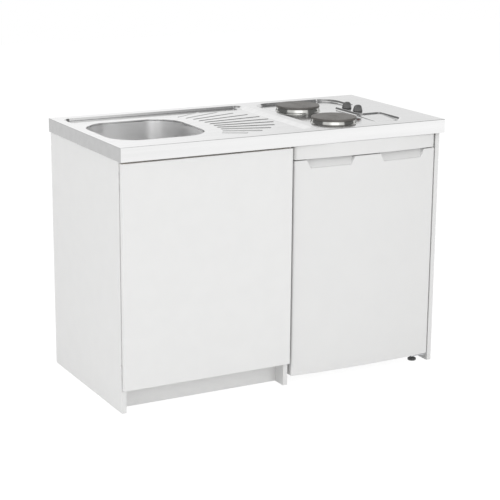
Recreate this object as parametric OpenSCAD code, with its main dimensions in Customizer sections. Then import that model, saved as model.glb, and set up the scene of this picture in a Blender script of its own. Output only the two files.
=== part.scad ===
// Kitchenette unit: a pressed stainless worktop with a sink bowl, a drainer and two
// electric plates, on a laminate cupboard and a bay that holds an under-counter fridge.
// Millimetres. The origin is on the floor under the middle of the unit, X runs to the
// right as seen from the front, Y to the back and Z up.

/* [Unit] */
// Width of the worktop
unit_w = 1200; // [1180:5:1300]
// Depth of the worktop, front lip to back lip
unit_d = 600; // [590:5:640]
// Height of the worktop rim above the floor
unit_h = 865; // [850:5:910]

/* [Worktop sheet] */
// Height of the folded lip round the worktop
lip_h = 46; // [42:1:56]
// Thickness of the stainless sheet
sheet_t = 1.2; // [0.8:0.1:2]
// Thickness of the board under the sheet
core_t = 16; // [12:1:19]
// Depth of the two pressed recesses
recess_depth = 8; // [5:0.5:9]
// Width of the raised rim along the front
rim_front = 50; // [44:1:56]
// Width of the raised rim along the back
rim_back = 42; // [34:1:50]
// Width of the raised rim at the left end
rim_left = 34; // [26:1:42]
// Corner radius of the sink recess
sink_recess_r = 25; // [15:1:35]
// Width of the raised bridge between the two recesses
bridge_w = 50; // [40:1:60]

/* [Sink bowl] */
// Width of the bowl opening
bowl_w = 340; // [320:2:350]
// Depth of the bowl opening, front to back
bowl_d = 340; // [320:2:360]
// Depth of the bowl below the drainer
bowl_depth = 150; // [130:2:165]
// Corner radius of the bowl
bowl_r = 100; // [80:2:110]
// Radius between the bowl's wall and its base
bowl_base_r = 28; // [18:1:34]
// Distance from the left wall of the recess to the bowl
bowl_margin = 18; // [14:1:24]
// Middle of the bowl, front to back
bowl_y = 5; // [-8:1:12]

/* [Drainer] */
// Width of the drainer between the bowl and the right wall of the recess, on a worktop
// that is 1200 wide; a wider or narrower one has that much more or less of it
drainer_w = 312; // [300:2:330]
// Number of ribs that fan out from the bowl
rib_count = 11; // [7:2:11]
// Angle from one rib to the next
rib_step = 5.7; // [5.2:0.1:6]
// Radius of a rib's round back
rib_r = 4.5; // [3.5:0.5:6]
// Height of a rib above the drainer
rib_h = 2.4; // [1.5:0.1:3]
// Plain ring between the bowl and the start of the ribs
rib_start = 56; // [48:1:64]
// Radius of the arc on which the ribs end
rib_arc_r = 212; // [205:1:216]

/* [Hob] */
// Width of the hob recess
hob_w = 326; // [322:2:340]
// Corner radius of the hob recess
hob_r = 62; // [50:1:70]
// Diameter of a cast plate
plate_d = 152; // [145:1:155]
// Diameter of the bright ring round a plate
ring_d = 158; // [156:1:162]
// Height of a plate's face above the recess
plate_rise = 22; // [18:1:24]
// Thickness of a plate's face
plate_t = 8; // [6:0.5:10]
// Rear plate, distance from the left wall of the recess
rear_plate_x = 106; // [98:1:112]
// Rear plate, distance from the back wall of the recess
rear_plate_y = 146; // [134:1:152]
// Front plate, distance from the left wall of the recess
front_plate_x = 92; // [88:1:106]
// Front plate, distance from the front wall of the recess
front_plate_y = 97; // [92:1:104]
// Depth of the tray that closes the hob from below
tray_h = 18; // [16:1:19]

/* [Controls] */
// Width of the raised console, left edge to the right wall of the recess
console_w = 83; // [78:1:88]
// Length of the console, front to back
console_len = 172; // [160:2:184]
// Middle of the console, front to back
console_y = 8; // [0:1:12]
// Corner radius of the console
console_r = 15; // [10:1:20]
// Height of the pressed step in front of the console
apron_h = 4; // [2:0.5:4.5]
// Diameter of a hob knob
knob_d = 34; // [30:1:36]
// Height of a hob knob
knob_h = 22; // [18:1:26]
// Distance between the two knobs
knob_pitch = 72; // [66:1:76]
// Distance from the console's left edge to the knobs' axes
knob_inset = 23; // [20:1:28]
// Diameter of the pilot lamp's lens
pilot_d = 10; // [8:1:12]

/* [Cupboard] */
// Thickness of the laminate boards
panel_t = 16; // [15:0.5:19]
// Overhang of the worktop past each side panel
side_overhang = 5; // [5:0.5:8]
// Overhang of the worktop past the panels' front edges
front_overhang = 24.5; // [23:0.5:30]
// Overhang of the worktop past the panels' back edges
back_overhang = 5; // [3:0.5:10]
// Height of the plinth
plinth_h = 80; // [70:1:100]
// Setback of the plinth from the panels' front edges
plinth_setback = 55; // [40:1:70]
// Thickness of the back board
back_t = 3; // [2.5:0.5:4]
// Height of the back board above the cupboard's floor
back_h = 440; // [400:5:450]
// Height of the front and back rails
rail_h = 60; // [50:1:70]
// Height of the shelf above the floor of the cupboard
shelf_rise = 244; // [200:4:300]
// Diameter of the shelf pins and of their holes
pin_d = 5; // [4:0.5:6]

/* [Cupboard door] */
// Thickness of the door
door_t = 16; // [15:0.5:16.5]
// Gap between the door and the panels' front edges
door_gap = 2.5; // [2.4:0.1:3]
// Gap between the door's top edge and the lip
door_top_gap = 6; // [4:0.5:10]
// Distance from the door's edge to the panel's outer face
door_side_gap = 1.5; // [1:0.1:2.5]
// Length of a hinge
hinge_h = 50; // [40:2:60]
// Diameter of a hinge's barrel
barrel_d = 5; // [4.6:0.1:5]
// Diameter of a hinge's pin
hinge_pin_d = 2.4; // [2:0.1:3]
// Width of a hinge leaf
leaf_w = 15; // [12:0.5:15.5]
// Distance from the door's end to the middle of a hinge
hinge_inset = 58; // [50:1:80]

/* [Fridge] */
// Width of the fridge
fridge_w = 550; // [520:2:560]
// Gap between the fridge and each panel
fridge_side_gap = 9.5; // [9:0.5:12]
// Gap between the fridge and the worktop's lip
fridge_top_gap = 1; // [1:0.5:3]
// Depth of the fridge's cabinet without its door
cabinet_d = 460; // [440:2:464]
// Distance from the worktop's front to the fridge's cabinet
cabinet_y = 72; // [70:0.5:76]
// Thickness of the insulated walls
wall_t = 37; // [32:1:40]
// Thickness of the plastic liner
liner_t = 2; // [1.5:0.1:2.5]
// Height of the cabinet's underside above the floor
fridge_foot_h = 28; // [26:1:34]
// Height of the fascia above the door
fascia_h = 47; // [42:1:52]
// Height of the step over the compressor
hump_h = 178; // [170:1:190]
// Height of the compressor's niche
niche_h = 160; // [150:1:165]

/* [Fridge door] */
// Thickness of the door at its side edges
fdoor_t = 48; // [44:1:50]
// How far the door's face bows out at its middle
bow = 12; // [8:0.5:13]
// Radius of the door's upright edges
fdoor_r = 12; // [8:0.5:14]
// Gap between the fascia and the door
fdoor_gap = 2; // [1.5:0.1:3]
// Gap between the cabinet and the door, closed by the gasket
gasket_t = 10; // [9:0.5:12]
// Distance from the door's right edge to its hinge axis
axis_inset = 16.5; // [16:0.5:18]
// Diameter of the fridge hinge pins
fpin_d = 8; // [6:0.5:8]
// Width of a grip at the door's top edge
grip_w = 174; // [150:2:180]
// Height of a grip
grip_h = 27; // [22:1:32]
// How much narrower a grip is at its foot, on each side
grip_taper = 13; // [6:1:18]
// Distance of each grip from the middle of the door
grip_offset = 140; // [130:1:144]
// Depth of a grip into the door
grip_depth = 20; // [14:1:22]
// Width of a door balcony's tray, front to back
balcony_d = 80; // [60:1:84]

/* [Hidden] */
$fn = 64;
run_gap = 0.05;      // running clearance round a pin or shaft
seat_gap = 0.3;      // clearance between pieces that lie on each other
eps = 0.5;           // how far a cut runs past the face it opens
plan_w = 1200;       // width of the worktop that drainer_w is given for

// Worktop levels
rim_z = unit_h;
floor_z = rim_z - recess_depth;
core_top = floor_z - sheet_t;
core_bot = core_top - core_t;
lip_z = rim_z - lip_h;

// Panel planes
out_x = unit_w/2 - side_overhang;
left_in = -out_x + panel_t;
right_in = out_x - panel_t;
mid_right = right_in - fridge_w - 2*fridge_side_gap;
mid_left = mid_right - panel_t;
front_y = -unit_d/2 + front_overhang;
back_y = unit_d/2 - back_overhang;
base_top = plinth_h + panel_t;
rail_y = back_y - 2*panel_t;

// Recesses, seen from above
sink_x0 = -unit_w/2 + rim_left;
bowl_x0 = sink_x0 + bowl_margin;
bowl_x1 = bowl_x0 + bowl_w;
bowl_x = (bowl_x0 + bowl_x1)/2;
sink_x1 = bowl_x1 + drainer_w + unit_w - plan_w;
hob_x0 = sink_x1 + bridge_w;
hob_x1 = hob_x0 + hob_w;
pan_y0 = -unit_d/2 + rim_front;
pan_y1 = unit_d/2 - rim_back;
bowl_y0 = bowl_y - bowl_d/2;
bowl_y1 = bowl_y + bowl_d/2;
bowl_z = floor_z - bowl_depth;
bowl_t = 1;

// Hob
plates = [[hob_x0 + rear_plate_x, pan_y1 - rear_plate_y], [hob_x0 + front_plate_x, pan_y0 + front_plate_y]];
skirt_r = plate_d/2 - 12;
hole_r = skirt_r + 2;
clear_r = ring_d/2 + 6;
plate_z = floor_z + plate_rise;
tray_z = core_bot - tray_h;
tray_y1 = pan_y1 - 20;
tray_flange = 10;
console_x0 = hob_x1 - console_w;
console_y0 = console_y - console_len/2;
console_y1 = console_y + console_len/2;
apron_len = 118;
knob_x = console_x0 + knob_inset;
knob_ys = [console_y + knob_pitch/2, console_y - knob_pitch/2];
shaft_r = 3;
knob_gap = 0.5;
pilot_x = hob_x0 + rear_plate_x + 93;
pilot_y = console_y0 - 62;
bush_r = 5;

// Cupboard door and its hinges
door_x0 = -out_x + door_side_gap;
door_x1 = mid_right - door_side_gap;
door_z0 = plinth_h;
door_z1 = lip_z - door_top_gap;
door_y1 = front_y - door_gap;
door_y0 = door_y1 - door_t;
hinge_x = -out_x - 2.2;
hinge_y = front_y - door_gap/2;
hinge_zs = [door_z0 + hinge_inset, door_z1 - hinge_inset];
leaf_t = 1;
knuckle_h = hinge_h/3;

// Fridge planes
fr_x0 = mid_right + fridge_side_gap;
fr_x1 = right_in - fridge_side_gap;
fr_x = (fr_x0 + fr_x1)/2;
cab_y0 = -unit_d/2 + cabinet_y;
cab_y1 = cab_y0 + cabinet_d;
cab_z0 = fridge_foot_h;
fascia_z1 = lip_z - fridge_top_gap;
fascia_z0 = fascia_z1 - fascia_h;
cab_z1 = fascia_z1 - 2;
fdoor_z1 = fascia_z0 - fdoor_gap;
fdoor_z0 = fridge_foot_h + 3.5;
fdoor_y1 = cab_y0 - gasket_t;
fdoor_y0 = fdoor_y1 - fdoor_t;
cav_x0 = fr_x0 + wall_t;
cav_x1 = fr_x1 - wall_t;
cav_y1 = cab_y1 - wall_t - 5;
cav_z0 = cab_z0 + wall_t + 7;
cav_z1 = cab_z1 - wall_t - 21;
hump_d = 162;
hump_y = cav_y1 - hump_d;
hump_z = cav_z0 + hump_h;
niche_y = hump_y + wall_t + 5;
in_x0 = cav_x0 + liner_t;
in_x1 = cav_x1 - liner_t;
in_z0 = cav_z0 + liner_t;
in_z1 = cav_z1 - liner_t;
in_y1 = cav_y1 - liner_t;
axis_x = fr_x1 - axis_inset;
axis_y = fdoor_y0 + 18;
fbush_r = fpin_d/2 + 3;
bracket_t = 3;
ledge_w = 8;
glass_t = 4;
lid_z = hump_z + liner_t;
shelf_gap = 146;
shelf2_z = lid_z + shelf_gap;
shelf_y0 = cab_y0 + 80;
bin_gap = 10;
bin_drop = 50;

// Freezer box, its flap and the thermostat
fz_x0 = in_x0 + 11;
fz_x1 = in_x1 - 11;
freezer_y = 148;
freezer_h = 140;
fz_y0 = cab_y0 + freezer_y;
fz_y1 = in_y1 - 8;
fz_z1 = in_z1 - 14;
fz_z0 = fz_z1 - freezer_h;
flap_y = fz_y0 - 3;
flap_pull_w = 100;
flap_z = fz_z1 - 8;
thermo_z = fz_z0 - 52;
thermo_y = fz_y0 + 10;
thermo_x = in_x1 - 25;

// Waste
waste_z = bowl_z;
well_r = 30;
well_deep = 24.5;
strainer_hole_d = 3.6;
tail_r = 20;
trap_z = bowl_z - 67;
outlet_z = trap_z - 25;
outlet_r = 20;
spigot_len = 60;

// ---- shapes used by several pieces ----

// A block given by its two corners
module block(x0, x1, y0, y1, z0, z1) {
    translate([x0, y0, z0]) cube([x1 - x0, y1 - y0, z1 - z0]);
}

// A block with round upright edges
module slab(x0, x1, y0, y1, z0, z1, r) {
    block(x0 + r, x1 - r, y0, y1, z0, z1);
    block(x0, x1, y0 + r, y1 - r, z0, z1);
    for (x = [x0 + r, x1 - r], y = [y0 + r, y1 - r])
        translate([x, y, z0]) cylinder(r = r, h = z1 - z0);
}

// A block with round upright edges and a round foot, such as a pressed bowl fills
module bowl_form(x0, x1, y0, y1, z0, z1, r, foot) {
    hull() {
        slab(x0, x1, y0, y1, z0 + foot, z1, r, $fn = 48);
        for (x = [x0 + r, x1 - r], y = [y0 + r, y1 - r]) translate([x, y, z0 + foot])
            rotate_extrude($fn = 48) translate([r - foot, 0]) circle(r = foot, $fn = 32);
    }
}

// A sheet box open at the top
module open_box(x0, x1, y0, y1, z0, z1, t) {
    difference() {
        block(x0, x1, y0, y1, z0, z1);
        block(x0 + t, x1 - t, y0 + t, y1 - t, z0 + t, z1 + eps);
    }
}

// ---- worktop ----

// The outline of the raised console, grown by g
module console_form(z0, z1, g) {
    slab(console_x0 - g, hob_x1 + console_r + 2, console_y0 - g, console_y1 + g, z0, z1, console_r);
}

// The low step in front of the console, grown by g
module apron_form(z0, z1, g) {
    slab(console_x0 - 13 - g, hob_x1 + console_r, console_y0 - 4 - apron_len - g, console_y0 - g + 6,
         z0, z1, console_r - 6);
}

// The sink recess, grown by g
module sink_form(z0, z1, g) {
    slab(sink_x0 - g, sink_x1 + g, pan_y0 - g, pan_y1 + g, z0, z1, sink_recess_r + g);
}

// The hob recess, grown by g, with the console and its step left standing
module hob_form(z0, z1, g) {
    difference() {
        slab(hob_x0 - g, hob_x1 + g, pan_y0 - g, pan_y1 + g, z0, z1, hob_r + g);
        console_form(z0 - eps, z1 + eps, -g);
        apron_form(z0 - eps, z0 + apron_h, -g);
    }
}

// Where the rib at angle a ends, as a distance from the middle of the bowl
function rib_reach(a) =
    let (cx = sink_x1 - 22 - rib_arc_r - bowl_x, cy = 13, along = cx*cos(a) + cy*sin(a))
    along + sqrt(rib_arc_r*rib_arc_r - cx*cx - cy*cy + along*along);

// One rib of the drainer, laid along +X from near to far
module rib(near, far) {
    intersection() {
        translate([0, 0, rib_h - rib_r]) {
            translate([near, 0, 0]) rotate([0, 90, 0]) cylinder(r = rib_r, h = far - near);
            translate([near, 0, 0]) sphere(r = rib_r);
            translate([far, 0, 0]) sphere(r = rib_r);
        }
        block(near - rib_r, far + rib_r, -rib_r, rib_r, -sheet_t/2, rib_h + eps);
    }
}

module drainer_ribs() {
    for (i = [0 : rib_count - 1]) {
        a = (i - (rib_count - 1)/2)*rib_step;
        translate([bowl_x, bowl_y, floor_z]) rotate([0, 0, a])
            rib((bowl_w/2 + rib_start)/cos(a), rib_reach(a));
    }
}

// Rim, folded lip, bridge and hob recess, with the upright walls of the sink recess
module worktop() {
    color("gainsboro") difference() {
        union() {
            difference() {
                block(-unit_w/2, unit_w/2, -unit_d/2, unit_d/2, lip_z, rim_z);
                block(-unit_w/2 + sheet_t, unit_w/2 - sheet_t, -unit_d/2 + sheet_t,
                      unit_d/2 - sheet_t, lip_z - eps, rim_z - sheet_t);
            }
            sink_form(floor_z, rim_z - sheet_t/2, sheet_t);
            hob_form(core_top, rim_z - sheet_t/2, sheet_t);
        }
        sink_form(floor_z - eps, rim_z + eps, 0);
        hob_form(floor_z, rim_z + eps, 0);
        for (p = plates) translate([p[0], p[1], core_top - eps]) cylinder(r = hole_r, h = 4*sheet_t);
        for (y = knob_ys) translate([knob_x, y, floor_z]) cylinder(r = bush_r + run_gap, h = 2*recess_depth);
        translate([pilot_x, pilot_y, core_top - eps]) cylinder(d = pilot_d - 2 + 2*run_gap, h = 4*sheet_t);
    }
}

// Floor of the sink recess, with the bowl's opening and the ribs of the drainer
module drainer_sheet() {
    color("gainsboro") {
        difference() {
            sink_form(core_top, floor_z, sheet_t);
            slab(bowl_x0, bowl_x1, bowl_y0, bowl_y1, core_top - eps, rim_z, bowl_r);
        }
        drainer_ribs();
    }
}

module worktop_core() {
    color("burlywood") difference() {
        block(-unit_w/2 + sheet_t, unit_w/2 - sheet_t, -unit_d/2 + sheet_t, unit_d/2 - sheet_t,
              core_bot, core_top);
        slab(bowl_x0 - 12, bowl_x1 + 12, bowl_y0 - 12, bowl_y1 + 12, core_bot - eps, core_top + eps, bowl_r + 12);
        for (p = plates) translate([p[0], p[1], core_bot - eps]) cylinder(r = clear_r, h = core_t + 2*eps);
        block(knob_x - 22, knob_x + 22, knob_ys[1] - 22, knob_ys[0] + 22, core_bot - eps, core_top + eps);
        translate([pilot_x, pilot_y, core_bot - eps]) cylinder(d = pilot_d + 5, h = core_t + 2*eps);
    }
}

// ---- sink and waste ----

module sink_bowl() {
    color("silver") difference() {
        union() {
            bowl_form(bowl_x0 - bowl_t, bowl_x1 + bowl_t, bowl_y0 - bowl_t, bowl_y1 + bowl_t,
                      bowl_z - bowl_t, core_top, bowl_r + bowl_t, bowl_base_r + bowl_t);
            slab(bowl_x0 - 9, bowl_x1 + 9, bowl_y0 - 9, bowl_y1 + 9, core_top - bowl_t, core_top, bowl_r + 9);
        }
        bowl_form(bowl_x0, bowl_x1, bowl_y0, bowl_y1, bowl_z, core_top + eps, bowl_r, bowl_base_r);
        translate([bowl_x, bowl_y, bowl_z - 2*bowl_t]) cylinder(r = well_r + 1 + run_gap, h = 4*bowl_t);
    }
}

// The flange that lies in the bowl, the well of the basket and the threaded tail
module waste_flange() {
    color("silver") translate([bowl_x, bowl_y, waste_z]) difference() {
        union() {
            cylinder(r1 = well_r + 12, r2 = well_r + 9, h = 2);
            translate([0, 0, -well_deep - 1.5]) cylinder(r = well_r + 1, h = well_deep + 1.5);
            translate([0, 0, -62]) cylinder(r = tail_r, h = 38);
        }
        translate([0, 0, -well_deep]) cylinder(r = well_r - 0.5, h = 30);
        translate([0, 0, -64]) cylinder(r = tail_r - 2, h = 42);
    }
}

module strainer_basket() {
    color("silver") translate([bowl_x, bowl_y, waste_z - well_deep + seat_gap]) {
        difference() {
            union() {
                cylinder(r1 = well_r - 6, r2 = well_r - 2, h = 22);
                translate([0, 0, 22]) cylinder(r = well_r - 1, h = 1.2);
            }
            translate([0, 0, 1.2]) cylinder(r1 = well_r - 7.2, r2 = well_r - 3.2, h = 23);
            for (ring = [[6, 9], [12, 16.5]], i = [0 : ring[0] - 1])
                rotate([0, 0, 360*i/ring[0]]) translate([ring[1], 0, -eps]) cylinder(d = strainer_hole_d, h = 3);
        }
        cylinder(r = 2.5, h = 26);
        translate([0, 0, 26]) cylinder(r1 = 5, r2 = 6, h = 5);
    }
}

// The nut that pulls the flange down on the bowl, with its seal
module waste_nut() {
    color("dimgray") translate([bowl_x, bowl_y, waste_z - bowl_t - 14]) difference() {
        union() {
            translate([0, 0, 11]) cylinder(r = well_r + 12, h = 3);
            cylinder(r = well_r + 9, h = 11);
            for (i = [0 : 7]) rotate([0, 0, 45*i]) block(well_r + 6, well_r + 11, -3, 3, 0, 12);
        }
        translate([0, 0, -eps]) cylinder(r = well_r + 1 + run_gap, h = 15);
    }
}

// Body of the bottle trap with its inlet collar and side outlet
module bottle_trap() {
    color("whitesmoke") difference() {
        union() {
            translate([bowl_x, bowl_y, trap_z - 100]) cylinder(r = 32, h = 95);
            translate([bowl_x, bowl_y, trap_z - 5]) cylinder(r1 = 32, r2 = 28, h = 5);
            translate([bowl_x, bowl_y, trap_z]) cylinder(r = 28, h = 24);
            translate([bowl_x, bowl_y, outlet_z]) rotate([-90, 0, 0]) cylinder(r = outlet_r + 6, h = 48);
        }
        translate([bowl_x, bowl_y, trap_z - 101]) cylinder(r = 29, h = 93);
        translate([bowl_x, bowl_y, trap_z - 20]) cylinder(r = tail_r + run_gap, h = 50);
        translate([bowl_x, bowl_y + 20, outlet_z]) rotate([-90, 0, 0]) cylinder(r = outlet_r + run_gap, h = 40);
    }
}

// Screwed cup at the foot of the trap, ribbed for the hand
module trap_cup() {
    color("lightgray") translate([bowl_x, bowl_y, trap_z - 126]) {
        rotate_extrude() polygon([
            [0, 0], [28, 0], [35, 12], [35, 30], [32 + run_gap, 30], [32 + run_gap, 26],
            [29, 26], [29, 15], [22, 4], [0, 4]]);
        for (i = [0 : 11]) rotate([0, 0, 30*i]) block(33.5, 37, -2, 2, 13, 29);
    }
}

// Waste pipe to the wall, with a bead that marks off the spigot at its end
module outlet_pipe() {
    start = bowl_y + 31;
    length = unit_d/2 - start;
    color("whitesmoke") translate([bowl_x, start, outlet_z]) rotate([-90, 0, 0]) difference() {
        union() {
            cylinder(r = outlet_r, h = length);
            translate([0, 0, length - spigot_len - 3]) cylinder(r = outlet_r + 2, h = 3);
        }
        translate([0, 0, -eps]) cylinder(r = outlet_r - 2, h = length + 2*eps);
    }
}

// ---- cupboard ----

shelf_hole_zs = [for (i = [-3 : 3]) base_top + shelf_rise + 32*i - pin_d/2];
pin_inset = 60;
rail_hole_x = 60;
shelf_hole_ys = [front_y + pin_inset, rail_y - pin_inset];

// An upright board; rows of shelf pin holes are drilled 12 mm deep from its face at hole_x
module upright(x0, hole_x, into) {
    difference() {
        block(x0, x0 + panel_t, front_y, back_y, 0, core_bot);
        if (into != 0)
            for (y = shelf_hole_ys, z = shelf_hole_zs)
                translate([hole_x - into*eps, y, z]) rotate([0, 90*into, 0]) cylinder(d = pin_d, h = 9 + eps);
    }
}

module side_panel_left() {
    color("white") upright(-out_x, left_in, -1);
}

module side_panel_middle() {
    color("white") upright(mid_left, mid_left, 1);
}

module side_panel_right() {
    color("white") upright(right_in, right_in, 0);
}

module cabinet_floor() {
    color("white") block(left_in, mid_left, front_y, rail_y, plinth_h, base_top);
}

// Thin back board, open above it for the water and waste pipes
module cabinet_back() {
    color("burlywood") block(left_in, mid_left, rail_y, rail_y + back_t, plinth_h, base_top + back_h);
}

module front_rail() {
    color("white") block(left_in, mid_left, front_y, front_y + panel_t, core_bot - rail_h, core_bot);
}

// Upright rail at the back of the cupboard, with two holes for wall screws
module back_rail() {
    color("white") difference() {
        block(left_in, mid_left, rail_y, rail_y + panel_t, core_bot - rail_h, core_bot);
        for (x = [left_in + rail_hole_x, mid_left - rail_hole_x])
            translate([x, rail_y - eps, core_bot - rail_h/2]) rotate([-90, 0, 0]) cylinder(d = 6, h = panel_t + 2*eps);
    }
}

// Rail at the back of the fridge's bay, laid flat under the worktop to clear the fridge
module bay_back_rail() {
    color("white") block(mid_right, right_in, tray_y1 + tray_flange + 3, rail_y + panel_t, core_bot - panel_t, core_bot);
}

module shelf() {
    z = base_top + shelf_rise;
    color("white") block(left_in + 1, mid_left - 1, front_y + 30, rail_y - 10, z, z + panel_t);
}

module shelf_pins() {
    z = base_top + shelf_rise - pin_d/2;
    color("silver") for (y = shelf_hole_ys) {
        translate([left_in - 8, y, z]) rotate([0, 90, 0]) cylinder(d = pin_d - 2*run_gap, h = 16);
        translate([left_in, y, z]) rotate([0, 90, 0]) cylinder(d = pin_d, h = 1);
        translate([mid_left - 8, y, z]) rotate([0, 90, 0]) cylinder(d = pin_d - 2*run_gap, h = 16);
        translate([mid_left - 1, y, z]) rotate([0, 90, 0]) cylinder(d = pin_d, h = 1);
    }
}

module plinth() {
    y = front_y + plinth_setback;
    color("white") block(left_in, mid_left, y, y + panel_t, 0, plinth_h);
}

// ---- fittings inside the cupboard ----

bracket_w = 20;
bracket_leg = 28;
bracket_sheet = 2;

// Places where a bracket joins a panel to the board above it: x of the panel's face, y, side
top_spots = [for (f = [[left_in, 1], [mid_left, -1], [mid_right, 1], [right_in, -1]], y = [front_y + 30, rail_y - 60])
    [f[0], y, f[1]]];
// Places where a bracket joins a panel to the cupboard's floor board
base_spots = [for (f = [[left_in, 1], [mid_left, -1]], y = [front_y + 60, rail_y - 60]) [f[0], y, f[1]]];

// An angle bracket in the corner at the origin, with a leg up +Z and a leg along +X
module angle_bracket() {
    difference() {
        union() {
            block(0, bracket_leg, -bracket_w/2, bracket_w/2, 0, bracket_sheet);
            block(0, bracket_sheet, -bracket_w/2, bracket_w/2, 0, bracket_leg);
        }
        translate([bracket_leg*0.6, 0, -eps]) cylinder(d = 4.5, h = bracket_sheet + 2*eps);
        translate([-eps, 0, bracket_leg*0.6]) rotate([0, 90, 0]) cylinder(d = 4.5, h = bracket_sheet + 2*eps);
    }
}

module corner_brackets() {
    color("silver") {
        for (s = top_spots) translate([s[0], s[1], core_bot]) mirror([s[2] < 0 ? 1 : 0, 0, 0])
            mirror([0, 0, 1]) angle_bracket();
        for (s = base_spots) translate([s[0], s[1], base_top]) mirror([s[2] < 0 ? 1 : 0, 0, 0])
            angle_bracket();
    }
}

// A pan-head screw that lies on a bracket's leg at the origin and points down -Z
module pan_screw() {
    cylinder(d1 = 8, d2 = 5, h = 2.2);
    translate([0, 0, -bracket_sheet]) cylinder(d = 4, h = bracket_sheet);
}

module bracket_screw_pair() {
    translate([bracket_leg*0.6, 0, bracket_sheet]) pan_screw();
    translate([bracket_sheet, 0, bracket_leg*0.6]) rotate([0, 90, 0]) pan_screw();
}

module bracket_screws() {
    color("gray") {
        for (s = top_spots) translate([s[0], s[1], core_bot]) mirror([s[2] < 0 ? 1 : 0, 0, 0])
            mirror([0, 0, 1]) bracket_screw_pair();
        for (s = base_spots) translate([s[0], s[1], base_top]) mirror([s[2] < 0 ? 1 : 0, 0, 0])
            bracket_screw_pair();
    }
}

// ---- cupboard door ----

// One knuckle of a hinge's barrel, from z0 up
module knuckle(z0, h) {
    translate([hinge_x, hinge_y, z0]) difference() {
        cylinder(d = barrel_d, h = h);
        translate([0, 0, -eps]) cylinder(d = hinge_pin_d + 2*run_gap, h = h + 2*eps);
    }
}

// Upper and lower knuckles and the leaf screwed on the panel's front edge
module fixed_hinge_leaves() {
    color("silver") for (z = hinge_zs) {
        knuckle(z - hinge_h/2, knuckle_h);
        knuckle(z + knuckle_h/2, knuckle_h);
        for (s = [[z - hinge_h/2, knuckle_h], [z + knuckle_h/2, knuckle_h]]) difference() {
            block(hinge_x, hinge_x + leaf_w, front_y - leaf_t, front_y, s[0], s[0] + s[1]);
            translate([hinge_x, hinge_y, s[0] - eps]) cylinder(d = barrel_d - 0.4, h = s[1] + 2*eps);
        }
        block(-out_x + 1, hinge_x + leaf_w, front_y - leaf_t, front_y, z - hinge_h/2, z + hinge_h/2);
    }
}

module hinge_pins() {
    color("gray") for (z = hinge_zs)
        translate([hinge_x, hinge_y, z - hinge_h/2 - 1]) {
            cylinder(d = hinge_pin_d, h = hinge_h + 2);
            cylinder(d = barrel_d - 0.6, h = 1);
            translate([0, 0, hinge_h + 1]) cylinder(d = barrel_d - 0.6, h = 1);
        }
}

// Middle knuckle and the leaf screwed on the back of the door
module door_hinge_leaves() {
    color("silver") for (z = hinge_zs) {
        knuckle(z - knuckle_h/2 + seat_gap, knuckle_h - 2*seat_gap);
        difference() {
            block(hinge_x, hinge_x + leaf_w, door_y1, door_y1 + leaf_t,
                  z - knuckle_h/2 + seat_gap, z + knuckle_h/2 - seat_gap);
            translate([hinge_x, hinge_y, z - hinge_h]) cylinder(d = barrel_d - 0.4, h = 2*hinge_h);
        }
        block(door_x0 + 2, hinge_x + leaf_w + 1, door_y1, door_y1 + leaf_t, z - hinge_h/2, z + hinge_h/2);
    }
}

module cabinet_door() {
    color("white") block(door_x0, door_x1, door_y0, door_y1, door_z0, door_z1);
}

catch_z = core_bot - rail_h - 30;
strike_t = 1.2;

// Magnetic catch on the inner face of the middle panel
module door_catch() {
    color("white") difference() {
        block(mid_left - 14, mid_left, door_y1 + strike_t + seat_gap, front_y + 17, catch_z - 23, catch_z + 23);
        for (z = [catch_z - 17, catch_z + 17])
            translate([mid_left - 15, front_y + 9, z]) rotate([0, 90, 0]) cylinder(d = 4, h = 16);
    }
}

module strike_plate() {
    color("silver") block(mid_left - 15, mid_left - 1, door_y1, door_y1 + strike_t, catch_z - 22, catch_z + 22);
}

// Round buffers on the back of the door, where it meets the middle panel
module door_buffers() {
    color("lightgray") for (z = [door_z0 + 40, door_z1 - 40])
        translate([(mid_left + mid_right)/2 - 2, door_y1, z]) rotate([-90, 0, 0])
            cylinder(d = 8, h = door_gap - seat_gap);
}

// ---- hob ----

// Cast plates, each with a dished middle, an under-rim and its clamping bolt
module hotplates() {
    color([0.22, 0.22, 0.23]) for (p = plates) translate([p[0], p[1], 0]) {
        difference() {
            union() {
                translate([0, 0, plate_z - plate_t]) cylinder(d = plate_d, h = plate_t - 1.5);
                translate([0, 0, plate_z - 1.5]) cylinder(d1 = plate_d, d2 = plate_d - 3, h = 1.5);
            }
            translate([0, 0, plate_z - 1]) cylinder(r1 = 14, r2 = 17, h = 1 + eps);
            for (r = [26 : 8 : plate_d/2 - 10]) translate([0, 0, plate_z - 0.6]) difference() {
                cylinder(r = r + 0.8, h = 1);
                translate([0, 0, -eps]) cylinder(r = r - 0.8, h = 2);
            }
        }
        translate([0, 0, floor_z - 12]) difference() {
            cylinder(r = skirt_r, h = 12 + plate_rise - plate_t);
            translate([0, 0, -eps]) cylinder(r = skirt_r - 4, h = 12 + eps + plate_rise - plate_t - 3);
        }
        translate([0, 0, floor_z - 24]) cylinder(r = 4, h = 24 + plate_rise - plate_t);
    }
}

// Bright ring that carries each plate and sheds spills; a thin rounded wall
module spill_rings() {
    top = plate_rise - plate_t;
    or = ring_d/2;
    wall = 1.2;
    color("silver") for (p = plates) translate([p[0], p[1], floor_z]) rotate_extrude() polygon([
        [or, 0], [or, 1.2], [or - 1.2, top*0.45], [or - 2.6, top*0.8], [or - 4.6, top],
        [hole_r + 1, top], [hole_r + 1, top - wall], [or - 5.2, top - wall],
        [or - 3.8, top*0.75], [or - 2.5, top*0.42], [or - 1.8, 1.2], [or - 6, 0]]);
}

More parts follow.
